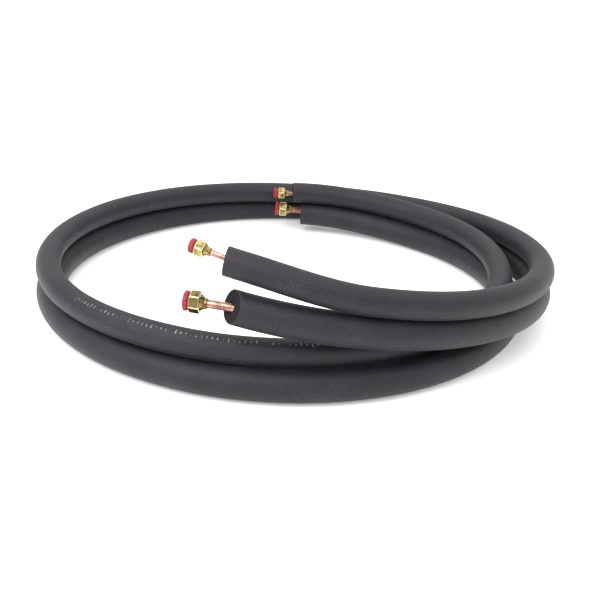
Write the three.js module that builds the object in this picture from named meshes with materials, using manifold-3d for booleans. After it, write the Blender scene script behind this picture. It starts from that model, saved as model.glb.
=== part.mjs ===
// A mini split line set: a small liquid line and a larger suction line, each a soft copper
// tube in black foam insulation, wound together into a coil of about one and a half turns.
// Each of the four ends carries a brass flare nut, closed with a red plastic plug.
// Millimetres, +Z up. The coil lies on the plane z = 0, and the origin is in the middle below it.
// Angles are in degrees round the coil, from +X towards +Y, and grow past a full turn.
import * as THREE from 'three';
import { mergeVertices } from 'three/addons/utils/BufferGeometryUtils.js';
import Module from 'manifold-3d';

const wasm = await Module();
wasm.setup();

// Copper tube, foam and the clearances between pieces
const liquidTubeDiameter = 6.35;
const suctionTubeDiameter = 9.52;
const tubeWall = 0.8;
const liquidFoamDiameter = 33;
const suctionFoamDiameter = 39;
const boreClearance = 0.4;
const touchGap = 0.3;

// Coil: the outer pass lies first, and the inner pass closes in beside and below it
const coilRadius = 334;
const coilOval = 3;
const ovalDirection = 30;
const liquidFrontAngle = -104.6;
const liquidBackAngle = 452;
const suctionFrontAngle = -101.2;
const suctionBackAngle = 448.8;
const innerPassStarts = 252;
const innerPassSettles = 430;
const innerPassInset = 62.3;
const passGap = 1;

// The first pass starts high, over the end of the turn below it, and comes down to the floor
const frontEndLift = 22.5;
const landingAngle = 75;
const landingCurve = 2.1;
const backEndLift = 11;
const backEndRises = 400;

// The liquid line rides on the suction line and leans from side to side on its way round
const leanMiddle = -12;
const leanSwing = 23;
const leanSwingStart = -56;
const leanSwingLength = 250;
const leanTilt = 8;
const leanTiltDirection = 20;
const frontEndLean = -6;
const frontLeanHolds = -92;
const frontLeanFades = -50;
const backEndLean = -20;
const backLeanStarts = 400;
const frontEndParting = 9.5;
const partingHolds = -101;
const partingCloses = -76;

// Bare copper between the foam and the nut, how far each bare end bends upwards, how far the
// tube rises off the middle of the foam at its mouth, and which way the hexagon is turned
const liquidFront = { bare: 17.4, bend: 2.5, rise: 3, hexTurn: 47 };
const liquidBack = { bare: 6.5, bend: 2, rise: -2, hexTurn: 47 };
const suctionFront = { bare: 27, bend: -8, rise: -1.2, hexTurn: 18 };
const suctionBack = { bare: 17, bend: 2, rise: 4, hexTurn: 45 };

// The front ends of the foam are cut off at a slant, outwards and towards the top
const liquidFrontCut = { outwards: 11, upwards: 0 };
const suctionFrontCut = { outwards: 32, upwards: 11 };

// Flare nuts: hexagon across flats, its length, the tapered neck and the thread inside
const liquidNut = { flats: 17, hexLength: 10.5, neckLength: 7, neckDiameter: 9.5, thread: 11.1 };
const suctionNut = { flats: 22, hexLength: 12, neckLength: 7, neckDiameter: 12.5, thread: 15.9 };
const nutBoreClearance = 0.15;
const nutChamfer = 1.2;
const flareReach = 1.6;

// Plugs: a round head and a shank that fills the thread
const liquidPlug = { headDiameter: 16.5, headLength: 7 };
const suctionPlug = { headDiameter: 22.5, headLength: 6.5 };
const plugClearance = 0.3;
const plugRecessDepth = 2;
const plugRimWidth = 3;

// Faceting
const stepsPerTurn = 40;
const foamSides = 12;
const tubeSides = 8;
const turnedSides = 24;

// No grid angle is used nearer to an end of the foam than this share of a step
const nearestStep = 0.3;

const gridAngle = 360 / stepsPerTurn;
const pairSpacing = (liquidFoamDiameter + suctionFoamDiameter) / 2 + touchGap;
const routeFront = Math.min(liquidFrontAngle, suctionFrontAngle);
const routeBack = Math.max(liquidBackAngle, suctionBackAngle);

const foamMaterial = new THREE.MeshStandardMaterial({ color: 0x3b3a3d, roughness: 0.75, metalness: 0 });
const copperMaterial = new THREE.MeshStandardMaterial({ color: 0xc98a6b, roughness: 0.35, metalness: 1 });
const brassMaterial = new THREE.MeshStandardMaterial({ color: 0xc9b26a, roughness: 0.35, metalness: 1 });
const plugMaterial = new THREE.MeshStandardMaterial({ color: 0xd8253a, roughness: 0.4, metalness: 0 });

const radians = THREE.MathUtils.degToRad;
const smoothstep = THREE.MathUtils.smoothstep;

// Lean of the liquid line off the top of the suction line, positive outwards
function leanAt(angle) {
  const swing = Math.cos(2 * Math.PI * (angle - leanSwingStart) / leanSwingLength);
  const tilt = Math.cos(radians(angle - leanTiltDirection));
  const frontShare = 1 - smoothstep(angle, frontLeanHolds, frontLeanFades);
  const backShare = smoothstep(angle, backLeanStarts, routeBack);
  const ends = frontEndLean * frontShare + backEndLean * backShare;
  return radians(leanMiddle + leanSwing * swing + leanTilt * tilt + ends);
}

function liquidOffsetAt(angle) {
  const parting = frontEndParting * (1 - smoothstep(angle, partingHolds, partingCloses));
  const distance = pairSpacing + parting;
  return { outward: distance * Math.sin(leanAt(angle)), upward: distance * Math.cos(leanAt(angle)) };
}

// How far the inner pass lies inside the outer one, so that neither of its lines is squeezed
function widestPassInset() {
  let widest = suctionFoamDiameter;
  for (let angle = landingAngle - 25; angle <= routeBack - 360; angle += gridAngle / 2) {
    const overlapOfPair = liquidOffsetAt(angle + 360).outward - liquidOffsetAt(angle).outward;
    widest = Math.max(widest, liquidFoamDiameter + overlapOfPair);
  }
  return widest + touchGap + passGap;
}

const passInset = Math.max(innerPassInset, widestPassInset());

function suctionRadiusAt(angle) {
  const oval = coilOval * Math.cos(2 * radians(angle - ovalDirection));
  return coilRadius + oval - passInset * smoothstep(angle, innerPassStarts, innerPassSettles);
}

// Height at which a round line clears another one that lies to the side of it and below
function heightToClear(sideways, spacing) {
  return Math.sqrt(Math.max(0, (spacing + touchGap) ** 2 - sideways ** 2));
}

function suctionHeightAt(angle) {
  const onFloor = suctionFoamDiameter / 2;
  const backLift = backEndLift * smoothstep(angle, backEndRises, routeBack);
  const climb = Math.max(0, (landingAngle - angle) / (landingAngle - routeFront));
  const fullRise = suctionFoamDiameter + liquidFoamDiameter + frontEndLift;
  const swept = onFloor + backLift + fullRise * climb ** landingCurve;
  if (angle + 360 > routeBack) return swept;
  const below = { radius: suctionRadiusAt(angle + 360), height: suctionHeightAt(angle + 360) };
  const offset = liquidOffsetAt(angle + 360);
  const sideways = suctionRadiusAt(angle) - below.radius;
  const overSuction = below.height + heightToClear(sideways, suctionFoamDiameter);
  const overLiquid = below.height + offset.upward
    + heightToClear(sideways - offset.outward, (suctionFoamDiameter + liquidFoamDiameter) / 2);
  return Math.max(swept, sideways < suctionFoamDiameter ? overSuction : swept,
    Math.abs(sideways - offset.outward) < pairSpacing ? overLiquid : swept);
}

function suctionCentre(angle) {
  const radius = suctionRadiusAt(angle);
  const turned = radians(angle);
  return new THREE.Vector3(radius * Math.cos(turned), radius * Math.sin(turned), suctionHeightAt(angle));
}

function liquidCentre(angle) {
  const { side, up } = frameAt(suctionCentre, angle);
  const offset = liquidOffsetAt(angle);
  return suctionCentre(angle).addScaledVector(side, offset.outward).addScaledVector(up, offset.upward);
}

// Axes of a line at an angle: along it, outwards from the coil, and up
function frameAt(centreAt, angle) {
  const along = centreAt(angle + 0.5).sub(centreAt(angle - 0.5)).normalize();
  const turned = radians(angle);
  const outward = new THREE.Vector3(Math.cos(turned), Math.sin(turned), 0);
  const up = new THREE.Vector3().crossVectors(outward, along).normalize();
  const side = new THREE.Vector3().crossVectors(along, up).normalize();
  return { along, side, up };
}

function stationAt(centreAt, angle) {
  return { point: centreAt(angle), rise: 0, ...frameAt(centreAt, angle) };
}

// Stations of the foam: its two ends, and every grid angle between them
function foamStations(sizes) {
  const angles = [sizes.frontAngle];
  const firstStep = Math.ceil(sizes.frontAngle / gridAngle + nearestStep);
  for (let step = firstStep; step * gridAngle < sizes.backAngle - nearestStep * gridAngle; step += 1) {
    angles.push(step * gridAngle);
  }
  angles.push(sizes.backAngle);
  const stations = angles.map((angle) => stationAt(sizes.centreAt, angle));
  stations[0].rise = sizes.front.rise;
  stations[stations.length - 1].rise = sizes.back.rise;
  return stations;
}

// Direction and place of a bare end; sense is -1 at the front end and 1 at the back
function bareEnd(station, sense, end) {
  const bend = radians(end.bend);
  const outward = station.along.clone().multiplyScalar(sense * Math.cos(bend));
  outward.addScaledVector(station.up, Math.sin(bend));
  const up = new THREE.Vector3().crossVectors(station.side, outward).multiplyScalar(sense).normalize();
  const mouth = station.point.clone().addScaledVector(station.up, station.rise);
  return { mouth, outward, side: station.side.clone(), up, sense, ...end };
}

function alongEnd(end, distance) {
  return {
    point: end.mouth.clone().addScaledVector(end.outward, distance),
    along: end.outward.clone().multiplyScalar(end.sense),
    side: end.side,
    up: end.up,
    rise: 0,
  };
}

// Turns a closed profile into a ring of walls, then lays it along the stations. A profile
// point's y is the number of its station, and its x the distance from the centreline. What
// lies within the reach of the rise follows the tube where that rises off the middle.
function sweep(profile, stations, sides, riseReach, frontCut = { outwards: 0, upwards: 0 }) {
  const geometry = new THREE.LatheGeometry(profile, sides);
  const position = geometry.attributes.position;
  const place = new THREE.Vector3();
  for (let i = 0; i < position.count; i += 1) {
    const station = stations[Math.round(position.getY(i))];
    const outwards = position.getX(i);
    const upwards = position.getZ(i);
    const rise = Math.hypot(outwards, upwards) < riseReach ? station.rise : 0;
    place.copy(station.point);
    place.addScaledVector(station.side, outwards);
    place.addScaledVector(station.up, upwards + rise);
    if (station === stations[0]) {
      place.addScaledVector(station.along, outwards * Math.tan(radians(frontCut.outwards)));
      place.addScaledVector(station.along, upwards * Math.tan(radians(frontCut.upwards)));
    }
    position.setXYZ(i, place.x, place.y, place.z);
  }
  return geometry;
}

// Profile of a tube along all its stations, out along the outside and back along the bore
function tubeProfile(outsides, bores) {
  const outer = outsides.map((radius, station) => new THREE.Vector2(radius, station));
  const inner = bores.map((radius, station) => new THREE.Vector2(radius, station)).reverse();
  return [...outer, ...inner, outer[0].clone()];
}

function foamGeometry(stations, sizes) {
  const outside = sizes.foamDiameter / 2;
  const bore = sizes.tubeDiameter / 2 + boreClearance;
  const profile = tubeProfile(stations.map(() => outside), stations.map(() => bore));
  return sweep(profile, stations, foamSides, (bore + outside) / 2, sizes.frontCut);
}

// Inside of a nut, measured from its rear: the 45 degree seat runs from the bore to the thread
function nutSeat(nut, tubeDiameter) {
  const bore = tubeDiameter / 2 + nutBoreClearance;
  const seatStart = nut.neckLength - touchGap;
  return { bore, seatStart, seatEnd: seatStart + nut.thread / 2 - bore };
}

// Where things sit along a bare end, measured from the mouth of the foam
function endLayout(end, nut) {
  const nutRear = end.bare;
  const flareRoot = nutRear + nut.neckLength;
  return { nutRear, flareRoot, flareRim: flareRoot + flareReach, nutFront: flareRoot + nut.hexLength };
}

// The tube runs through the foam and ends in a flare inside each nut
function copperGeometry(stations, tubeDiameter, front, back, nut) {
  const radius = tubeDiameter / 2;
  const frontLayout = endLayout(front, nut);
  const backLayout = endLayout(back, nut);
  const all = [
    alongEnd(front, frontLayout.flareRim),
    alongEnd(front, frontLayout.flareRoot),
    ...stations,
    alongEnd(back, backLayout.flareRoot),
    alongEnd(back, backLayout.flareRim),
  ];
  const isRim = (station) => station === all[0] || station === all[all.length - 1];
  const outsides = all.map((station) => (isRim(station) ? radius + flareReach : radius));
  const bores = all.map((station) => (isRim(station) ? radius + flareReach - tubeWall : radius - tubeWall));
  return sweep(tubeProfile(outsides, bores), all, tubeSides, tubeDiameter);
}

function solidFrom(geometry) {
  geometry.deleteAttribute('normal');
  geometry.deleteAttribute('uv');
  const welded = mergeVertices(geometry, 1e-4);
  return new wasm.Manifold(new wasm.Mesh({
    numProp: 3,
    vertProperties: new Float32Array(welded.attributes.position.array),
    triVerts: new Uint32Array(welded.index.array),
  }));
}

function geometryFrom(solid) {
  const { vertProperties, triVerts } = solid.getMesh();
  const geometry = new THREE.BufferGeometry();
  geometry.setAttribute('position', new THREE.BufferAttribute(vertProperties, 3));
  geometry.setIndex(new THREE.BufferAttribute(triVerts, 1));
  geometry.computeVertexNormals();
  return geometry;
}

// A flare nut stands along +Y with its rear at y = 0. It is turned from a hexagon bar:
// a neck that tapers to the tube, a 45 degree seat behind the flare, and the thread.
function nutGeometry(nut, tubeDiameter) {
  const { bore, seatStart, seatEnd } = nutSeat(nut, tubeDiameter);
  const thread = nut.thread / 2;
  const length = nut.neckLength + nut.hexLength;
  const corner = nut.flats / 2 / Math.cos(Math.PI / 6);
  const chamferRun = nutChamfer * Math.tan(Math.PI / 6);
  const profile = [
    [bore, 0],
    [nut.neckDiameter / 2, 0],
    [nut.flats / 2 - nutChamfer, nut.neckLength],
    [corner, nut.neckLength + chamferRun],
    [corner, length - chamferRun],
    [nut.flats / 2 - nutChamfer / 2, length],
    [thread, length],
    [thread, seatEnd],
    [bore, seatStart],
    [bore, 0],
  ].map(([radius, height]) => new THREE.Vector2(radius, height));
  const blank = solidFrom(new THREE.LatheGeometry(profile, turnedSides));
  const hexBar = new THREE.CylinderGeometry(corner, corner, 2 * length, 6);
  hexBar.translate(0, length / 2, 0);
  return geometryFrom(blank.intersect(solidFrom(hexBar)));
}

// A plug stands along +Y with its head resting on the nut's front face at y = 0, and its
// shank reaching down the thread to the seat
function plugGeometry(plug, nut, shankLength) {
  const shank = nut.thread / 2 - plugClearance;
  const head = plug.headDiameter / 2;
  const recess = head - plugRimWidth;
  const profile = [
    [0, -shankLength],
    [shank, -shankLength],
    [shank, touchGap],
    [head, touchGap],
    [head, touchGap + plug.headLength],
    [recess, touchGap + plug.headLength],
    [recess, touchGap + plug.headLength - plugRecessDepth],
    [0, touchGap + plug.headLength - plugRecessDepth],
  ].map(([radius, height]) => new THREE.Vector2(radius, height));
  return new THREE.LatheGeometry(profile, turnedSides);
}

function namedMesh(name, geometry, material) {
  const mesh = new THREE.Mesh(geometry, material);
  mesh.name = name;
  return mesh;
}

// A group that stands its contents along a bare end, turned so that a hexagon's flat or
// corner faces the way it lies in the coil
function endGroup(end, distance) {
  const group = new THREE.Group();
  const across = new THREE.Vector3().crossVectors(end.outward, end.up).normalize();
  const axes = new THREE.Matrix4().makeBasis(across, end.outward, end.up.clone());
  if (axes.determinant() < 0) axes.makeBasis(across.negate(), end.outward, end.up.clone());
  group.quaternion.setFromRotationMatrix(axes);
  group.position.copy(alongEnd(end, distance).point);
  return group;
}

function fittings(lineName, endName, end, nut, plug, tubeDiameter) {
  const layout = endLayout(end, nut);
  const nutGroup = endGroup(end, layout.nutRear);
  const nutMesh = namedMesh(`${lineName}_nut_${endName}`, nutGeometry(nut, tubeDiameter), brassMaterial);
  nutMesh.rotation.y = radians(end.hexTurn);
  nutGroup.add(nutMesh);
  const shankLength = nut.neckLength + nut.hexLength - nutSeat(nut, tubeDiameter).seatEnd - touchGap;
  const plugGroup = endGroup(end, layout.nutFront);
  plugGroup.add(namedMesh(`${lineName}_plug_${endName}`, plugGeometry(plug, nut, shankLength), plugMaterial));
  return [nutGroup, plugGroup];
}

function line(name, sizes) {
  const stations = foamStations(sizes);
  const front = bareEnd(stations[0], -1, sizes.front);
  const back = bareEnd(stations[stations.length - 1], 1, sizes.back);
  const foam = foamGeometry(stations, sizes);
  const copper = copperGeometry(stations, sizes.tubeDiameter, front, back, sizes.nut);
  const group = new THREE.Group();
  group.add(namedMesh(`${name}_insulation`, foam, foamMaterial));
  group.add(namedMesh(`${name}_tube`, copper, copperMaterial));
  group.add(...fittings(name, 'front', front, sizes.nut, sizes.plug, sizes.tubeDiameter));
  group.add(...fittings(name, 'back', back, sizes.nut, sizes.plug, sizes.tubeDiameter));
  return group;
}

const lineSet = new THREE.Group();
lineSet.add(line('suction', {
  centreAt: suctionCentre,
  frontAngle: suctionFrontAngle,
  backAngle: suctionBackAngle,
  tubeDiameter: suctionTubeDiameter,
  foamDiameter: suctionFoamDiameter,
  front: suctionFront,
  back: suctionBack,
  frontCut: suctionFrontCut,
  nut: suctionNut,
  plug: suctionPlug,
}));
lineSet.add(line('liquid', {
  centreAt: liquidCentre,
  frontAngle: liquidFrontAngle,
  backAngle: liquidBackAngle,
  tubeDiameter: liquidTubeDiameter,
  foamDiameter: liquidFoamDiameter,
  front: liquidFront,
  back: liquidBack,
  frontCut: liquidFrontCut,
  nut: liquidNut,
  plug: liquidPlug,
}));

// The origin goes on the floor, below the middle of the whole set
const extent = new THREE.Box3().setFromObject(lineSet, true);
lineSet.position.set(-(extent.min.x + extent.max.x) / 2, -(extent.min.y + extent.max.y) / 2, -extent.min.z);

export default lineSet;
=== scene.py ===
import math
import bpy
from mathutils import Matrix, Vector, noise


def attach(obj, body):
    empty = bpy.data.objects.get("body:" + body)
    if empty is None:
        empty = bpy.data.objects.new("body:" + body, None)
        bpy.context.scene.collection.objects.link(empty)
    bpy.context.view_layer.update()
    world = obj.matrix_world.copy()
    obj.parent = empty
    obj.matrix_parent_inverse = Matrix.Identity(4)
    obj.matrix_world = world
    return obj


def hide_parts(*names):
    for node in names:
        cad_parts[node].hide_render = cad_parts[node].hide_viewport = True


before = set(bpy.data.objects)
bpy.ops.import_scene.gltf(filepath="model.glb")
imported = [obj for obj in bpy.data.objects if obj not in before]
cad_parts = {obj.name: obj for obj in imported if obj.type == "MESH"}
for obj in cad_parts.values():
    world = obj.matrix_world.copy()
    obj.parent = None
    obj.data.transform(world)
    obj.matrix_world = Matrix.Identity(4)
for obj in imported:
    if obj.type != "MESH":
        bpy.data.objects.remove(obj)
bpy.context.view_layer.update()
print("frame loaded")

mm = 0.001
turn = 2 * math.pi

# The coil: route of both lines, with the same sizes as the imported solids
coil = dict(
    radius=334 * mm, oval=3 * mm, ovalDirection=30,
    innerPassStarts=252, innerPassSettles=430, innerPassInset=62.3 * mm, passGap=1 * mm,
    frontEndLift=22.5 * mm, landingAngle=75, landingMargin=25, landingCurve=2.1,
    backEndLift=11 * mm, backEndRises=400,
    leanMiddle=-12, leanSwing=23, leanSwingStart=-56, leanSwingLength=250,
    leanTilt=8, leanTiltDirection=20,
    frontEndLean=-6, frontLeanHolds=-92, frontLeanFades=-50, backEndLean=-20, backLeanStarts=400,
    frontEndParting=9.5 * mm, partingHolds=-101, partingCloses=-76,
    touchGap=0.3 * mm, stepsPerTurn=40,
)

suction = dict(
    name="suction", tube=9.52 * mm, foam=39 * mm, frontCut=(32, 11), frontAngle=-101.2, backAngle=448.8,
    front=dict(bare=27 * mm, bend=-8, rise=-1.2 * mm, hexTurn=18),
    back=dict(bare=17 * mm, bend=2, rise=4 * mm, hexTurn=45),
    nut=dict(flats=22 * mm, hexLength=12 * mm, neckLength=7 * mm, neckDiameter=12.5 * mm, thread=15.9 * mm,
             pitch=1.41 * mm),
    plug=dict(headDiameter=22.5 * mm, headLength=6.5 * mm, ribs=24),
)

liquid = dict(
    name="liquid", tube=6.35 * mm, foam=33 * mm, frontCut=(11, 0), frontAngle=-104.6, backAngle=452,
    front=dict(bare=17.4 * mm, bend=2.5, rise=3 * mm, hexTurn=47),
    back=dict(bare=6.5 * mm, bend=2, rise=-2 * mm, hexTurn=47),
    nut=dict(flats=17 * mm, hexLength=10.5 * mm, neckLength=7 * mm, neckDiameter=9.5 * mm, thread=11.1 * mm,
             pitch=1.27 * mm),
    plug=dict(headDiameter=16.5 * mm, headLength=7 * mm, ribs=18),
)

fit = dict(tubeWall=0.8 * mm, boreClearance=0.4 * mm, nutBoreClearance=0.15 * mm, flareReach=1.6 * mm,
           nutChamfer=1.2 * mm, plugClearance=0.3 * mm)

pairSpacing = (liquid["foam"] + suction["foam"]) / 2 + coil["touchGap"]
gridAngle = 360 / coil["stepsPerTurn"]
frontAngle = min(suction["frontAngle"], liquid["frontAngle"])
backAngle = max(suction["backAngle"], liquid["backAngle"])


def smoothstep(value, low, high):
    share = min(max((value - low) / (high - low), 0), 1)
    return share * share * (3 - 2 * share)


def leanAt(angle):
    swing = math.cos(turn * (angle - coil["leanSwingStart"]) / coil["leanSwingLength"])
    tilt = math.cos(math.radians(angle - coil["leanTiltDirection"]))
    frontShare = 1 - smoothstep(angle, coil["frontLeanHolds"], coil["frontLeanFades"])
    backShare = smoothstep(angle, coil["backLeanStarts"], backAngle)
    ends = coil["frontEndLean"] * frontShare + coil["backEndLean"] * backShare
    return math.radians(coil["leanMiddle"] + coil["leanSwing"] * swing + coil["leanTilt"] * tilt + ends)


def liquidOffsetAt(angle):
    closed = smoothstep(angle, coil["partingHolds"], coil["partingCloses"])
    distance = pairSpacing + coil["frontEndParting"] * (1 - closed)
    return distance * math.sin(leanAt(angle)), distance * math.cos(leanAt(angle))


def widestPassInset():
    widest = suction["foam"]
    angle = coil["landingAngle"] - coil["landingMargin"]
    while angle <= backAngle - 360:
        overlapOfPair = liquidOffsetAt(angle + 360)[0] - liquidOffsetAt(angle)[0]
        widest = max(widest, liquid["foam"] + overlapOfPair)
        angle += gridAngle / 2
    return widest + coil["touchGap"] + coil["passGap"]


passInset = max(coil["innerPassInset"], widestPassInset())


def suctionRadiusAt(angle):
    oval = coil["oval"] * math.cos(2 * math.radians(angle - coil["ovalDirection"]))
    inwards = passInset * smoothstep(angle, coil["innerPassStarts"], coil["innerPassSettles"])
    return coil["radius"] + oval - inwards


def heightToClear(sideways, spacing):
    return math.sqrt(max(0, (spacing + coil["touchGap"]) ** 2 - sideways ** 2))


def suctionHeightAt(angle):
    backLift = coil["backEndLift"] * smoothstep(angle, coil["backEndRises"], backAngle)
    climb = max(0, (coil["landingAngle"] - angle) / (coil["landingAngle"] - frontAngle))
    fullRise = suction["foam"] + liquid["foam"] + coil["frontEndLift"]
    swept = suction["foam"] / 2 + backLift + fullRise * climb ** coil["landingCurve"]
    if angle + 360 > backAngle:
        return swept
    below = suctionHeightAt(angle + 360)
    outward, upward = liquidOffsetAt(angle + 360)
    sideways = suctionRadiusAt(angle) - suctionRadiusAt(angle + 360)
    heights = [swept]
    if sideways < suction["foam"]:
        heights.append(below + heightToClear(sideways, suction["foam"]))
    if abs(sideways - outward) < pairSpacing:
        spacing = (suction["foam"] + liquid["foam"]) / 2
        heights.append(below + upward + heightToClear(sideways - outward, spacing))
    return max(heights)


def suctionCentre(angle):
    radius = suctionRadiusAt(angle)
    turned = math.radians(angle)
    return Vector((radius * math.cos(turned), radius * math.sin(turned), suctionHeightAt(angle)))


def frameAt(centreAt, angle):
    along = (centreAt(angle + 0.5) - centreAt(angle - 0.5)).normalized()
    turned = math.radians(angle)
    up = Vector((math.cos(turned), math.sin(turned), 0)).cross(along).normalized()
    return along, along.cross(up).normalized(), up


def liquidCentre(angle):
    along, side, up = frameAt(suctionCentre, angle)
    outward, upward = liquidOffsetAt(angle)
    return suctionCentre(angle) + side * outward + up * upward


suction["centre"] = suctionCentre
liquid["centre"] = liquidCentre


# Nodes: one function adds a node with its settings and links
def addNode(tree, kind, settings=None, **links):
    node = tree.nodes.new(kind)
    for key, value in (settings or {}).items():
        setattr(node, key, value)
    for key, value in links.items():
        name = key.replace("_", " ")
        socket = node.inputs[int(name[1:])] if name[0] == "i" and name[1:].isdigit() else node.inputs[name]
        if isinstance(value, bpy.types.NodeSocket):
            tree.links.new(value, socket)
        else:
            socket.default_value = value
    return node


def linear(code):
    parts = [int(code[i:i + 2], 16) / 255 for i in (1, 3, 5)]
    return tuple(p / 12.92 if p <= 0.04045 else ((p + 0.055) / 1.055) ** 2.4 for p in parts) + (1,)


def newMaterial(name):
    material = bpy.data.materials.new(name)
    material.use_nodes = True
    tree = material.node_tree
    return material, tree, tree.nodes["Principled BSDF"]


def ramp(tree, factor, stops):
    node = addNode(tree, "ShaderNodeValToRGB", Fac=factor)
    elements = node.color_ramp.elements
    for i, (place, colour) in enumerate(stops):
        element = elements[i] if i < 2 else elements.new(place)
        element.position = place
        element.color = colour
    return node.outputs["Color"]


# Nitrile rubber foam, extruded and expanded: a closed skin with fine pores, dull, with a
# soft sheen at grazing angles and faint draw lines along its length
foamSkin = dict(dark="#121013", light="#221e26", dust="#38343d", grain=2 * mm, drawLine=3.5 * mm,
                blotch=45 * mm, wrinkle=5 * mm, grainDepth=0.9 * mm, wrinkleDepth=1.4 * mm, grainShare=0.65)

# Length marks printed in a pale ink along part of the small line, worn through in places
marks = dict(ink="#8f8f8d", every=6 * mm, width=1.3 * mm, height=3.4 * mm, longEvery=30 * mm,
             longHeight=6 * mm, firstRun=1.875, lastRun=2.2, direction=28, wear=4 * mm, worn=0.42, whole=0.62)


def printedMarks(tree, uv, place, radius):
    split = addNode(tree, "ShaderNodeSeparateXYZ", Vector=uv).outputs
    girth = turn * radius * marks["direction"] / 360

    def near(value, centre, reach):
        compared = addNode(tree, "ShaderNodeMath", dict(operation="COMPARE"), i0=value, i1=centre, i2=reach)
        return compared.outputs[0]

    def combine(operation, first, second):
        return addNode(tree, "ShaderNodeMath", dict(operation=operation), i0=first, i1=second).outputs[0]

    def row(every, height):
        along = combine("MODULO", split["X"], every)
        stripe = near(along, every / 2, marks["width"] / 2)
        return combine("MULTIPLY", stripe, near(split["Y"], girth, height / 2))
    shortRow = row(marks["every"], marks["height"])
    rows = combine("MAXIMUM", shortRow, row(marks["longEvery"], marks["longHeight"]))
    middle = (marks["firstRun"] + marks["lastRun"]) / 2
    printed = combine("MULTIPLY", rows, near(split["X"], middle, (marks["lastRun"] - marks["firstRun"]) / 2))
    wear = addNode(tree, "ShaderNodeTexNoise", Vector=place, Scale=1 / marks["wear"], Detail=3.0)
    kept = addNode(tree, "ShaderNodeMapRange", Value=wear.outputs["Fac"], From_Min=marks["worn"],
                   From_Max=marks["whole"])
    return combine("MULTIPLY", printed, kept.outputs["Result"])


def nitrileFoam(name, markedRadius=None):
    material, tree, shader = newMaterial(name)
    uv = addNode(tree, "ShaderNodeUVMap", dict(uv_map="lengthAndGirth")).outputs["UV"]
    place = addNode(tree, "ShaderNodeTexCoord").outputs["Object"]
    drawn = addNode(tree, "ShaderNodeMapping", Vector=uv, Scale=(0.06, 1, 1)).outputs["Vector"]
    blotch = addNode(tree, "ShaderNodeTexNoise", Vector=place, Scale=1 / foamSkin["blotch"], Detail=5.0,
                     Roughness=0.6).outputs["Fac"]
    grain = addNode(tree, "ShaderNodeTexNoise", Vector=place, Scale=1 / foamSkin["grain"], Detail=3.0,
                    Roughness=0.7).outputs["Fac"]
    lines = addNode(tree, "ShaderNodeTexNoise", Vector=drawn, Scale=1 / foamSkin["drawLine"], Detail=2.0,
                    Roughness=0.5).outputs["Fac"]
    shaded = addNode(tree, "ShaderNodeMath", dict(operation="MULTIPLY"), i0=blotch,
                     i1=1 - foamSkin["grainShare"]).outputs[0]
    mixed = addNode(tree, "ShaderNodeMath", dict(operation="MULTIPLY_ADD"), i0=grain,
                    i1=foamSkin["grainShare"], i2=shaded).outputs[0]
    colour = ramp(tree, mixed, [(0.38, linear(foamSkin["dark"])), (0.56, linear(foamSkin["light"])),
                                (0.68, linear(foamSkin["dust"]))])
    if markedRadius:
        ink = printedMarks(tree, uv, place, markedRadius)
        colour = addNode(tree, "ShaderNodeMixRGB", Fac=ink, Color1=colour,
                         Color2=linear(marks["ink"])).outputs["Color"]
    tree.links.new(colour, shader.inputs["Base Color"])
    rough = addNode(tree, "ShaderNodeMapRange", Value=grain, To_Min=0.42, To_Max=0.6).outputs["Result"]
    tree.links.new(rough, shader.inputs["Roughness"])
    shader.inputs["IOR"].default_value = 1.42
    shader.inputs["Sheen Weight"].default_value = 0.08
    shader.inputs["Sheen Roughness"].default_value = 0.3
    # wrinkles gather where the bend squeezes the skin, on the inside of the coil
    squeezed = addNode(tree, "ShaderNodeAttribute", dict(attribute_name="innerSide")).outputs["Fac"]
    across = addNode(tree, "ShaderNodeMapping", Vector=uv, Scale=(1, 0.12, 1)).outputs["Vector"]
    wrinkles = addNode(tree, "ShaderNodeTexNoise", Vector=across, Scale=1 / foamSkin["wrinkle"], Detail=2.0,
                       Roughness=0.45).outputs["Fac"]
    folded = addNode(tree, "ShaderNodeMath", dict(operation="MULTIPLY"), i0=wrinkles, i1=squeezed).outputs[0]
    relief = addNode(tree, "ShaderNodeMath", dict(operation="MULTIPLY_ADD"), i0=lines, i1=0.35,
                     i2=grain).outputs[0]
    low = addNode(tree, "ShaderNodeBump", Height=folded, Distance=foamSkin["wrinkleDepth"],
                  Strength=0.7).outputs["Normal"]
    fine = addNode(tree, "ShaderNodeBump", Height=relief, Distance=foamSkin["grainDepth"], Strength=0.8,
                   Normal=low)
    tree.links.new(fine.outputs["Normal"], shader.inputs["Normal"])
    return material


# The cut face of the same foam: open pores, each painted darker towards its middle as painted shade inside
# the open cell, so the face is darker than the skin
foamCut = dict(poreShade="#0b090d", wall="#1b181e", poreSize=1.6 * mm, poreDepth=0.5 * mm)


def cutFoam():
    material, tree, shader = newMaterial("nitrileFoamCut")
    place = addNode(tree, "ShaderNodeTexCoord").outputs["Object"]
    pores = addNode(tree, "ShaderNodeTexVoronoi", Vector=place,
                    Scale=1 / foamCut["poreSize"]).outputs["Distance"]
    # painted shade: the darkest colour sits at the middle of each pore, where the bump below sinks its
    # hollow; the walls keep the foam's own colour
    colour = ramp(tree, pores, [(0.1, linear(foamCut["poreShade"])), (0.55, linear(foamCut["wall"]))])
    tree.links.new(colour, shader.inputs["Base Color"])
    shader.inputs["Roughness"].default_value = 0.9
    shader.inputs["Specular IOR Level"].default_value = 0.25
    bump = addNode(tree, "ShaderNodeBump", Height=pores, Distance=foamCut["poreDepth"], Strength=0.8)
    tree.links.new(bump.outputs["Normal"], shader.inputs["Normal"])
    return material


# Soft drawn copper: pink, satin from the die, with darker handling marks along the tube
copperSkin = dict(bright="#c29a8b", deep="#966f5f", stain="#613f34", drawLine=0.6 * mm, stainSize=9 * mm,
                  lineDepth=0.04 * mm)


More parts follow.
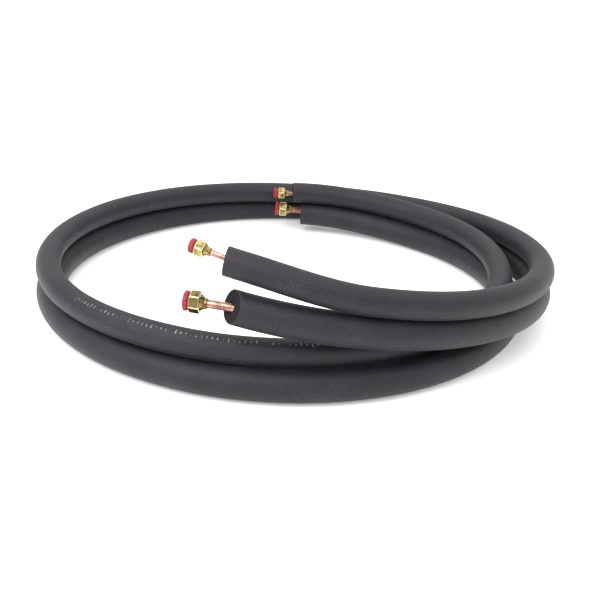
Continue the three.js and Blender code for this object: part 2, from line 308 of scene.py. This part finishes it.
def drawnCopper():
    material, tree, shader = newMaterial("drawnCopper")
    uv = addNode(tree, "ShaderNodeUVMap", dict(uv_map="lengthAndGirth")).outputs["UV"]
    place = addNode(tree, "ShaderNodeTexCoord").outputs["Object"]
    drawn = addNode(tree, "ShaderNodeMapping", Vector=uv, Scale=(0.05, 1, 1)).outputs["Vector"]
    lines = addNode(tree, "ShaderNodeTexNoise", Vector=drawn, Scale=1 / copperSkin["drawLine"],
                    Detail=2.0).outputs["Fac"]
    stain = addNode(tree, "ShaderNodeTexNoise", Vector=place, Scale=1 / copperSkin["stainSize"], Detail=6.0,
                    Roughness=0.65).outputs["Fac"]
    colour = ramp(tree, stain, [(0.28, linear(copperSkin["stain"])), (0.46, linear(copperSkin["deep"])),
                                (0.62, linear(copperSkin["bright"]))])
    tree.links.new(colour, shader.inputs["Base Color"])
    shader.inputs["Metallic"].default_value = 1
    rough = addNode(tree, "ShaderNodeMapRange", Value=stain, To_Min=0.42, To_Max=0.22).outputs["Result"]
    tree.links.new(rough, shader.inputs["Roughness"])
    bump = addNode(tree, "ShaderNodeBump", Height=lines, Distance=copperSkin["lineDepth"], Strength=0.5)
    tree.links.new(bump.outputs["Normal"], shader.inputs["Normal"])
    return material


# Machined brass bar, tarnished olive on its faces and polished by handling along its edges,
# with fine tool marks
brassSkin = dict(edge="#f0e2b4", bright="#a8965f", deep="#756637", tarnish="#463b1d", tarnishSize=7 * mm,
                 toolMark=0.35 * mm, toolDepth=0.03 * mm)


def machinedBrass():
    material, tree, shader = newMaterial("machinedBrass")
    place = addNode(tree, "ShaderNodeTexCoord").outputs["Object"]
    tarnish = addNode(tree, "ShaderNodeTexNoise", Vector=place, Scale=1 / brassSkin["tarnishSize"],
                      Detail=5.0, Roughness=0.6).outputs["Fac"]
    colour = ramp(tree, tarnish, [(0.3, linear(brassSkin["tarnish"])), (0.45, linear(brassSkin["deep"])),
                                  (0.6, linear(brassSkin["bright"]))])
    worn = addNode(tree, "ShaderNodeAttribute", dict(attribute_name="wornEdge")).outputs["Fac"]
    colour = addNode(tree, "ShaderNodeMixRGB", Fac=worn, Color1=colour,
                     Color2=linear(brassSkin["edge"])).outputs["Color"]
    tree.links.new(colour, shader.inputs["Base Color"])
    shader.inputs["Metallic"].default_value = 1
    rough = addNode(tree, "ShaderNodeMapRange", Value=tarnish, To_Min=0.34, To_Max=0.16).outputs["Result"]
    tree.links.new(rough, shader.inputs["Roughness"])
    tooled = addNode(tree, "ShaderNodeTexNoise", Vector=place, Scale=1 / brassSkin["toolMark"], Detail=1.0)
    bump = addNode(tree, "ShaderNodeBump", Height=tooled.outputs["Fac"], Distance=brassSkin["toolDepth"],
                   Strength=0.4)
    tree.links.new(bump.outputs["Normal"], shader.inputs["Normal"])
    return material


# Polyethylene, injection moulded: saturated red, waxy, a little light goes in
plugSkin = dict(red="#a80e22", deep="#7c0a18", scuff=4 * mm, grain=0.5 * mm, grainDepth=0.03 * mm)


def mouldedPolyethylene():
    material, tree, shader = newMaterial("mouldedPolyethylene")
    place = addNode(tree, "ShaderNodeTexCoord").outputs["Object"]
    scuff = addNode(tree, "ShaderNodeTexNoise", Vector=place, Scale=1 / plugSkin["scuff"],
                    Detail=4.0).outputs["Fac"]
    colour = ramp(tree, scuff, [(0.35, linear(plugSkin["deep"])), (0.6, linear(plugSkin["red"]))])
    tree.links.new(colour, shader.inputs["Base Color"])
    shader.inputs["Roughness"].default_value = 0.34
    shader.inputs["IOR"].default_value = 1.51
    shader.inputs["Subsurface Weight"].default_value = 0.08
    shader.inputs["Subsurface Scale"].default_value = 1.5 * mm
    grain = addNode(tree, "ShaderNodeTexNoise", Vector=place, Scale=1 / plugSkin["grain"], Detail=2.0)
    bump = addNode(tree, "ShaderNodeBump", Height=grain.outputs["Fac"], Distance=plugSkin["grainDepth"],
                   Strength=0.35)
    tree.links.new(bump.outputs["Normal"], shader.inputs["Normal"])
    return material


materials = dict(suctionFoam=nitrileFoam("nitrileFoamSkin"),
                 liquidFoam=nitrileFoam("nitrileFoamSkinMarked", liquid["foam"] / 2),
                 cut=cutFoam(), copper=drawnCopper(), brass=machinedBrass(), plug=mouldedPolyethylene())
print("materials made")


def newPiece(name, points, faces, smooth=True):
    mesh = bpy.data.meshes.new(name)
    mesh.from_pydata([tuple(p) for p in points], [], faces)
    mesh.validate()
    if smooth:
        mesh.shade_smooth()
    piece = bpy.data.objects.new(name, mesh)
    bpy.context.scene.collection.objects.link(piece)
    return piece


# Route of a line as closely spaced stations, with the distance run at each, and the height of
# the tube above the middle of the foam, which is largest at the ends
routeStep = 1.0
gridLength = coil["radius"] * math.radians(gridAngle)


def stationsOf(line):
    sweep = line["backAngle"] - line["frontAngle"]
    count = round(sweep / routeStep)
    stations = []
    run = 0
    for i in range(count + 1):
        angle = line["frontAngle"] + sweep * i / count
        point = line["centre"](angle)
        along, side, up = frameAt(line["centre"], angle)
        if stations:
            run += (point - stations[-1]["point"]).length
        stations.append(dict(point=point, along=along, side=side, up=up, run=run, angle=angle))
    for station in stations:
        ends = ((station["run"], line["front"]), (run - station["run"], line["back"]))
        station["rise"] = sum(end["rise"] * (1 - smoothstep(away, 0, gridLength)) for away, end in ends)
    return stations


def bareEnd(station, sense, end):
    bend = math.radians(end["bend"])
    outward = station["along"] * (sense * math.cos(bend)) + station["up"] * math.sin(bend)
    up = (station["side"].cross(outward) * sense).normalized()
    mouth = station["point"] + station["up"] * end["rise"]
    return dict(mouth=mouth, outward=outward, side=station["side"], up=up, sense=sense, **end)


def alongEnd(end, distance):
    return dict(point=end["mouth"] + end["outward"] * distance, along=end["outward"] * end["sense"],
                side=end["side"], up=end["up"], rise=0)


# Joins rings of points one after the other, and the last to the first
def ringFaces(rings, sides):
    faces = []
    for i in range(rings):
        here, there = i * sides, ((i + 1) % rings) * sides
        for j in range(sides):
            k = (j + 1) % sides
            faces.append((here + j, here + k, there + k, there + j))
    return faces


# Foam sleeve: skin, rounded and cut ends, and the bore
sleeve = dict(sides=48, edgeRound=1.3 * mm, edgeSteps=4, faceSteps=3, slantFades=1.5, ripple=0.35 * mm,
              rippleLength=60 * mm, press=0.25 * mm, pressWidth=6, pressReach=1 * mm)


def sleevePoint(line, station, run, radius, theta, rise=0):
    sideways, upwards = radius * math.sin(theta), radius * math.cos(theta)
    sideCut, topCut = (math.tan(math.radians(angle)) for angle in line["frontCut"])
    fade = max(0, 1 - station["run"] / (sleeve["slantFades"] * line["foam"]))
    along = run - station["run"] + (sideCut * sideways + topCut * upwards) * fade
    return station["point"] + station["side"] * sideways + station["up"] * (upwards + rise) \
        + station["along"] * along


# Rows of the sleeve: station, distance along the line, radius, and what the surface is there
def sleeveRows(line, stations):
    outer = line["foam"] / 2
    bore = line["tube"] / 2 + fit["boreClearance"]
    rounding = sleeve["edgeRound"]
    length = stations[-1]["run"]
    slopes = [math.pi / 2 * i / sleeve["edgeSteps"] for i in range(sleeve["edgeSteps"] + 1)]
    inward = [outer - rounding + (bore - outer + rounding) * (i + 1) / sleeve["faceSteps"]
              for i in range(sleeve["faceSteps"])]
    first, last = stations[0], stations[-1]
    rows = [(first, rounding * (1 - math.cos(q)), outer - rounding * (1 - math.sin(q)), "skin")
            for q in slopes]
    rows += [(s, s["run"], outer, "skin") for s in stations[1:-1]]
    rows += [(last, length - rounding * (1 - math.sin(q)), outer - rounding * (1 - math.cos(q)), "skin")
             for q in slopes]
    rows += [(last, length, radius, "cut") for radius in inward]
    rows += [(s, s["run"], bore, "bore") for s in reversed(stations[1:-1])]
    rows += [(first, 0, radius, "cut") for radius in reversed(inward)]
    return rows


# How much of the sleeve's skin, all round it, presses against the other line here
def pressAt(line, station, theta):
    outward, upward = liquidOffsetAt(station["angle"])
    towards = math.atan2(outward, upward) + (math.pi if line is liquid else 0)
    apart = math.hypot(outward, upward) - pairSpacing
    closeness = 1 - smoothstep(apart, 0, sleeve["pressReach"])
    return closeness * max(0, math.cos(theta - towards)) ** sleeve["pressWidth"]


def makeSleeve(line, stations):
    sides = sleeve["sides"]
    rows = sleeveRows(line, stations)
    points = []
    inner = []
    for station, run, radius, surface in rows:
        for j in range(sides):
            theta = turn * j / sides
            shaped = radius
            if surface == "skin":
                where = sleevePoint(line, station, run, radius, theta) / sleeve["rippleLength"]
                press = pressAt(line, station, theta)
                ripple = sleeve["ripple"] * (0.5 + 0.5 * noise.noise(where))
                shaped += sleeve["press"] * press - ripple * (1 - press)
            depth = (line["foam"] / 2 - radius) / (line["foam"] / 2 - line["tube"] / 2)
            points.append(sleevePoint(line, station, run, shaped, theta, station["rise"] * min(1, depth)))
            inner.append(max(0, -math.sin(theta)) ** 2)
    piece = newPiece(f"{line['name']}_sleeve", points, ringFaces(len(rows), sides))
    mesh = piece.data
    mesh.materials.append(materials[f"{line['name']}Foam"])
    mesh.materials.append(materials["cut"])
    attribute = mesh.attributes.new("innerSide", "FLOAT", "POINT")
    attribute.data.foreach_set("value", inner)
    addGirthMap(mesh, [row[1] for row in rows], sides, line["foam"] / 2)
    for polygon in mesh.polygons:
        row = polygon.index // sides
        following = rows[(row + 1) % len(rows)][3]
        polygon.material_index = 0 if rows[row][3] == following == "skin" else 1
    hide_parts(f"{line['name']}_insulation")
    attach(piece, "lines")


# UV in metres: along the line, and round it
def addGirthMap(mesh, runs, sides, radius):
    layer = mesh.uv_layers.new(name="lengthAndGirth")
    values = [0.0] * (2 * len(mesh.loops))
    for polygon in mesh.polygons:
        row, column = divmod(polygon.index, sides)
        nextRow = (row + 1) % len(runs)
        corners = [(row, column), (row, column + 1), (nextRow, column + 1), (nextRow, column)]
        for loop, (r, c) in zip(polygon.loop_indices, corners):
            values[2 * loop] = runs[r]
            values[2 * loop + 1] = turn * radius * c / sides
    layer.data.foreach_set("uv", values)


# Copper tube: it runs right through the sleeve and flares inside each nut
tubing = dict(sides=32, bareSteps=6, sharpAngle=50)


def makeTube(line, stations, front, back):
    sides = tubing["sides"]
    radius = line["tube"] / 2
    reach = fit["flareReach"]
    length = stations[-1]["run"]
    outside = [(s, s["run"], radius) for s in stations]
    for end, sense, first in ((front, -1, 0), (back, 1, length)):
        root = end["bare"] + line["nut"]["neckLength"]
        stops = [(root * (i + 1) / tubing["bareSteps"], 0) for i in range(tubing["bareSteps"])]
        stops += [(root + reach / 2, reach / 2), (root + reach, reach)]
        added = [(alongEnd(end, distance), first + sense * distance, radius + flare)
                 for distance, flare in stops]
        outside = added[::-1] + outside if sense < 0 else outside + added
    rows = outside + [(s, run, r - fit["tubeWall"]) for s, run, r in reversed(outside)]
    points = [s["point"] + s["side"] * (r * math.sin(turn * j / sides))
              + s["up"] * (s["rise"] + r * math.cos(turn * j / sides))
              for s, run, r in rows for j in range(sides)]
    piece = newPiece(f"{line['name']}_copper", points, ringFaces(len(rows), sides))
    piece.data.materials.append(materials["copper"])
    addGirthMap(piece.data, [row[1] for row in rows], sides, radius)
    piece.data.set_sharp_from_angle(angle=math.radians(tubing["sharpAngle"]))
    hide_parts(f"{line['name']}_tube")
    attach(piece, "lines")


# Axes that stand a turned piece along a bare end: its Y is the way out
def standOn(end, distance):
    across = end["outward"].cross(end["up"]).normalized()
    axes = Matrix((across, end["outward"], end["up"])).transposed().to_4x4()
    axes.translation = alongEnd(end, distance)["point"]
    return axes


# Turned solid along +Y. Rows are (distance along, radius); shape may change a radius. A solid
# without a bore is closed by a fan at each end.
def turnedPiece(name, rows, sides, axes, shape=None, bored=True):
    points = []
    for index, (along, radius) in enumerate(rows):
        for j in range(sides):
            theta = turn * j / sides
            r = shape(index, theta, radius, along) if shape else radius
            points.append(axes @ Vector((r * math.sin(theta), along, r * math.cos(theta))))
    faces = ringFaces(len(rows), sides)
    if not bored:
        faces = faces[:-sides]
        for row, along in ((0, rows[0][0]), (len(rows) - 1, rows[-1][0])):
            points.append(axes @ Vector((0, along, 0)))
            ring = [row * sides + j for j in range(sides)]
            fan = [(ring[(j + 1) % sides], ring[j], len(points) - 1) for j in range(sides)]
            faces += fan if row == 0 else [triangle[::-1] for triangle in fan]
    return newPiece(name, points, faces)


def stepped(start, end, count):
    return [(start[0] + (end[0] - start[0]) * i / count, start[1] + (end[1] - start[1]) * i / count)
            for i in range(count)]


# Brass flare nut, machined from a hexagon bar
nutLook = dict(sides=180, hexSharpness=44, meetSharpness=110, threadDepth=0.32 * mm, threadRows=44,
               lip=0.35 * mm, band=1.6 * mm, groove=2.2 * mm, grooveDepth=0.3 * mm, coneShort=1.2 * mm,
               coneStep=1.6 * mm, shoulderStep=0.8 * mm, hexedFrom=0.8, cornerPolish=(0.02, 0.1),
               endPolish=(0.3 * mm, 1.1 * mm))


def threadWave(along, theta, pitch):
    phase = (along / pitch - theta / turn) % 1
    return abs(2 * phase - 1)


# Polish on the hexagon's corners and round its two ends, from 0 to 1
def wornAt(nut, along, radius, theta):
    sixths = theta / (turn / 6)
    fromCorner = abs(sixths - round(sixths))
    fromEnd = min(abs(along - nut["neckLength"]), abs(along - nut["neckLength"] - nut["hexLength"]))
    if radius < 0.45 * nut["flats"]:
        return 0
    dull = smoothstep(fromCorner, *nutLook["cornerPolish"])
    return 1 - min(dull, smoothstep(fromEnd, *nutLook["endPolish"]))


def makeNut(line, end, endName):
    nut = line["nut"]
    flat = nut["flats"] / 2
    corner = flat / math.cos(math.pi / 6)
    bore = line["tube"] / 2 + fit["nutBoreClearance"]
    thread = nut["thread"] / 2
    length = nut["neckLength"] + nut["hexLength"]
    seatStart = nut["neckLength"] - coil["touchGap"]
    seatEnd = seatStart + thread - bore
    chamferRun = fit["nutChamfer"] * math.tan(math.pi / 6)
    neck = nut["neckDiameter"] / 2
    lip = nutLook["lip"]
    shoulder = flat - fit["nutChamfer"]
    outline = [(0, bore), (0, neck - lip), (lip, neck), (nutLook["band"], neck),
               (nutLook["groove"], neck - nutLook["grooveDepth"]),
               (nut["neckLength"] - nutLook["coneShort"], shoulder - nutLook["coneStep"]),
               (nut["neckLength"], shoulder - nutLook["shoulderStep"]), (nut["neckLength"], shoulder),
               (nut["neckLength"] + chamferRun, corner)]
    rows = []
    for a, b in zip(outline, outline[1:]):
        rows += stepped(a, b, 6)
    rows += stepped((nut["neckLength"] + chamferRun, corner), (length - chamferRun, corner), 12)
    rows += stepped((length - chamferRun, corner), (length, flat - fit["nutChamfer"] / 2), 8)
    rows += stepped((length, flat - fit["nutChamfer"] / 2), (length, thread + lip), 4)
    rows += stepped((length, thread + lip), (length - lip, thread), 2)
    outside = len(rows)
    rows += stepped((length - lip, thread), (seatEnd, thread), nutLook["threadRows"])
    inside = len(rows)
    rows += stepped((seatEnd, thread), (seatStart, bore), 4)
    rows += stepped((seatStart, bore), (0, bore), 4)

    def shape(index, theta, radius, along):
        if outside <= index < inside:
            return radius + nutLook["threadDepth"] * (1 - threadWave(along, theta, nut["pitch"]))
        if index >= inside or radius < nutLook["hexedFrom"] * flat:
            return radius
        spread = [max(0, math.cos(theta - turned - turn * k / 6 - turn / 12)) for k in range(6)]
        hexagon = flat / sum(c ** nutLook["hexSharpness"] for c in spread) ** (1 / nutLook["hexSharpness"])
        q = nutLook["meetSharpness"]
        return (hexagon ** -q + radius ** -q) ** (-1 / q)
    turned = math.radians(end["hexTurn"])
    piece = turnedPiece(f"{line['name']}_flareNut_{endName}", rows, nutLook["sides"],
                        standOn(end, end["bare"]), shape)
    piece.data.materials.append(materials["brass"])
    worn = piece.data.attributes.new("wornEdge", "FLOAT", "POINT")
    worn.data.foreach_set("value", [wornAt(nut, along, radius, turn * j / nutLook["sides"] - turned)
                                    for along, radius in rows for j in range(nutLook["sides"])])
    node = f"{line['name']}_nut_{endName}"
    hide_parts(node)
    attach(piece, node)


# Ribs round a plug's head, by Geometry Nodes: one rib, put on each point of a circle
def ribTree():
    tree = bpy.data.node_groups.new("plugRibs", "GeometryNodeTree")
    tree.interface.new_socket("Count", in_out="INPUT", socket_type="NodeSocketInt")
    for name in ("Radius", "RibRadius", "RibLength", "Height"):
        tree.interface.new_socket(name, in_out="INPUT", socket_type="NodeSocketFloat")
    tree.interface.new_socket("Material", in_out="INPUT", socket_type="NodeSocketMaterial")
    tree.interface.new_socket("Geometry", in_out="OUTPUT", socket_type="NodeSocketGeometry")
    given = tree.nodes.new("NodeGroupInput").outputs
    result = tree.nodes.new("NodeGroupOutput")
    circle = addNode(tree, "GeometryNodeMeshCircle", Vertices=given["Count"], Radius=given["Radius"])
    rib = addNode(tree, "GeometryNodeMeshCylinder", Vertices=12, Side_Segments=1, Radius=given["RibRadius"],
                  Depth=given["RibLength"])
    placed = addNode(tree, "GeometryNodeInstanceOnPoints", Points=circle.outputs["Mesh"],
                     Instance=rib.outputs["Mesh"])
    rise = addNode(tree, "ShaderNodeCombineXYZ", Z=given["Height"])
    raised = addNode(tree, "GeometryNodeTranslateInstances", Instances=placed.outputs["Instances"],
                     Translation=rise.outputs["Vector"])
    real = addNode(tree, "GeometryNodeRealizeInstances", Geometry=raised.outputs["Instances"])
    painted = addNode(tree, "GeometryNodeSetMaterial", Geometry=real.outputs["Geometry"],
                      Material=given["Material"])
    tree.links.new(painted.outputs["Geometry"], result.inputs["Geometry"])
    return tree


plugLook = dict(sides=96, recessDepth=2 * mm, rimWidth=3 * mm, edge=0.6 * mm, ribRadius=0.9 * mm,
                ribStandsOut=0.6 * mm, threadDepth=0.25 * mm, threadRows=40, collarLength=1.2 * mm,
                collarStep=1 * mm, taper=0.2 * mm, middle=1 * mm, ribSharpAngle=40, sharpAngle=60)
ribs = ribTree()


def meshFromTree(tree, name, values):
    holder = bpy.data.objects.new(name, bpy.data.meshes.new(name))
    bpy.context.scene.collection.objects.link(holder)
    modifier = holder.modifiers.new("nodes", "NODES")
    modifier.node_group = tree
    sockets = {item.name: item.identifier for item in tree.interface.items_tree if item.in_out == "INPUT"}
    for key, value in values.items():
        modifier[sockets[key]] = value
    holder.update_tag()
    bpy.context.view_layer.update()
    evaluated = holder.evaluated_get(bpy.context.evaluated_depsgraph_get())
    mesh = bpy.data.meshes.new_from_object(evaluated)
    holder.modifiers.clear()
    bpy.data.objects.remove(holder)
    return mesh


def makePlug(line, end, endName):
    nut, plug = line["nut"], line["plug"]
    head = plug["headDiameter"] / 2 - plugLook["ribStandsOut"]
    shank = nut["thread"] / 2 - fit["plugClearance"]
    bore = line["tube"] / 2 + fit["nutBoreClearance"]
    gap = coil["touchGap"]
    seatEnd = nut["neckLength"] - gap + nut["thread"] / 2 - bore
    nutLength = nut["neckLength"] + nut["hexLength"]
    shankLength = nutLength - seatEnd - gap
    top = gap + plug["headLength"]
    edge = plugLook["edge"]
    recess = head - plugLook["rimWidth"]
    middle = plugLook["middle"]
    taper = plugLook["taper"]
    floor = top - plugLook["recessDepth"]
    rows = stepped((-shankLength, middle), (-shankLength, shank - edge), 3)
    rows += stepped((-shankLength, shank - edge), (-shankLength + edge, shank), 3)
    threadStart = len(rows)
    rows += stepped((-shankLength + edge, shank), (gap - taper, shank), plugLook["threadRows"])
    threadEnd = len(rows)
    collar = shank + plugLook["collarStep"]
    under = gap + plugLook["collarLength"]
    rows += stepped((gap - taper, shank), (gap, collar), 2)
    rows += stepped((gap, collar), (under, collar), 3)
    rows += stepped((under, collar), (under, head - edge), 3)
    rows += stepped((under, head - edge), (under + edge, head), 3)
    rows += stepped((under + edge, head), (top - edge, head), 4)
    rows += stepped((top - edge, head), (top, head - edge), 3)
    rows += stepped((top, head - edge), (top, recess + edge / 2), 3)
    rows += stepped((top, recess + edge / 2), (top - edge / 2, recess), 2)
    rows += stepped((top - edge / 2, recess), (floor + edge / 2, recess - taper), 2)
    rows += stepped((floor + edge / 2, recess - taper), (floor, recess - edge), 2)
    rows += stepped((floor, recess - edge), (floor, middle), 4) + [(floor, middle)]

    def shape(index, theta, radius, along):
        if threadStart < index < threadEnd - 1:
            return radius - plugLook["threadDepth"] * threadWave(along, theta, nut["pitch"])
        return radius
    axes = standOn(end, end["bare"] + nutLength)
    piece = turnedPiece(f"{line['name']}_redPlug_{endName}", rows, plugLook["sides"], axes, shape,
                        bored=False)
    mesh = piece.data
    mesh.materials.append(materials["plug"])
    values = dict(Count=plug["ribs"], Radius=head - plugLook["ribRadius"] + plugLook["ribStandsOut"],
                  RibRadius=plugLook["ribRadius"], RibLength=top - under - 2 * edge,
                  Height=(top + under) / 2, Material=materials["plug"])
    ribMesh = meshFromTree(ribs, "ribs", values)
    # the tree stands its ribs along Z; the plug's own axis is Y
    ribMesh.transform(axes @ Matrix.Rotation(-math.pi / 2, 4, "X"))
    ribPiece = bpy.data.objects.new(f"{line['name']}_plugRibs_{endName}", ribMesh)
    bpy.context.scene.collection.objects.link(ribPiece)
    ribMesh.shade_smooth()
    ribMesh.set_sharp_from_angle(angle=math.radians(plugLook["ribSharpAngle"]))
    mesh.set_sharp_from_angle(angle=math.radians(plugLook["sharpAngle"]))
    node = f"{line['name']}_plug_{endName}"
    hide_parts(node)
    for made in (piece, ribPiece):
        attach(made, node)


for line in (suction, liquid):
    stations = stationsOf(line)
    makeSleeve(line, stations)
    front = bareEnd(stations[0], -1, line["front"])
    back = bareEnd(stations[-1], 1, line["back"])
    makeTube(line, stations, front, back)
    for end, endName in ((front, "front"), (back, "back")):
        makeNut(line, end, endName)
        makePlug(line, end, endName)
    print(line["name"], "line made")


# Studio: a white acrylic table lit a little from below, bright soft light overhead that fades
# towards the horizon, a soft key light from the left and a weak one from the right
studio = dict(floorSize=60, floorColour="#f7f7f8", floorGlow=0.25, overhead=2.0, horizon=0.3, backdrop=1,
              keyPlace=(-1.3, -1.3, 1.7), keySize=1.6, keyPower=38,
              fillPlace=(1.8, -0.6, 1.0), fillSize=1.2, fillPower=2)


def makeStudio():
    half = studio["floorSize"] / 2
    corners = [(-half, -half, 0), (half, -half, 0), (half, half, 0), (-half, half, 0)]
    floor = newPiece("studioFloor", corners, [(0, 1, 2, 3)], smooth=False)
    material, tree, shader = newMaterial("whiteAcrylic")
    shader.inputs["Base Color"].default_value = linear(studio["floorColour"])
    shader.inputs["Roughness"].default_value = 0.9
    shader.inputs["Emission Color"].default_value = (1, 1, 1, 1)
    shader.inputs["Emission Strength"].default_value = studio["floorGlow"]
    floor.data.materials.append(material)
    world = bpy.data.worlds.new("softDaylight")
    world.use_nodes = True
    tree = world.node_tree
    direction = addNode(tree, "ShaderNodeTexCoord").outputs["Generated"]
    height = addNode(tree, "ShaderNodeSeparateXYZ", Vector=direction).outputs["Z"]
    strength = addNode(tree, "ShaderNodeMapRange", Value=height, To_Min=studio["horizon"],
                       To_Max=studio["overhead"]).outputs["Result"]
    seen = addNode(tree, "ShaderNodeLightPath").outputs["Is Camera Ray"]
    shown = addNode(tree, "ShaderNodeMapRange", Value=seen, To_Min=strength, To_Max=studio["backdrop"])
    tree.nodes["Background"].inputs["Color"].default_value = (1, 1, 1, 1)
    tree.links.new(shown.outputs["Result"], tree.nodes["Background"].inputs["Strength"])
    bpy.context.scene.world = world
    for name in ("key", "fill"):
        data = bpy.data.lights.new(name, "AREA")
        data.size = studio[f"{name}Size"]
        data.energy = studio[f"{name}Power"]
        light = bpy.data.objects.new(name, data)
        light.location = studio[f"{name}Place"]
        light.rotation_euler = (-light.location).to_track_quat("-Z", "Y").to_euler()
        bpy.context.scene.collection.objects.link(light)


# Camera, worked out from the outlines of both lines in the photograph
view = dict(imageSide=590, sensor=36, focalPixels=950, back=1234 * mm, height=514 * mm, pitch=22.46, roll=2.5,
            coilLeft=2.35 * mm, coilBehind=29.5 * mm)


def makeCamera():
    data = bpy.data.cameras.new("camera")
    data.sensor_width = view["sensor"]
    data.lens = view["sensor"] * view["focalPixels"] / view["imageSide"]
    camera = bpy.data.objects.new("camera", data)
    pitched = Matrix.Rotation(math.radians(90 - view["pitch"]), 4, "X")
    rolled = Matrix.Rotation(math.radians(view["roll"]), 4, "Z")
    place = (view["coilLeft"], -view["back"] - view["coilBehind"], view["height"])
    camera.matrix_world = Matrix.Translation(place) @ pitched @ rolled
    bpy.context.scene.collection.objects.link(camera)
    bpy.context.scene.camera = camera


makeStudio()
makeCamera()
bpy.context.scene.view_settings.view_transform = "Standard"
print("studio and camera made")
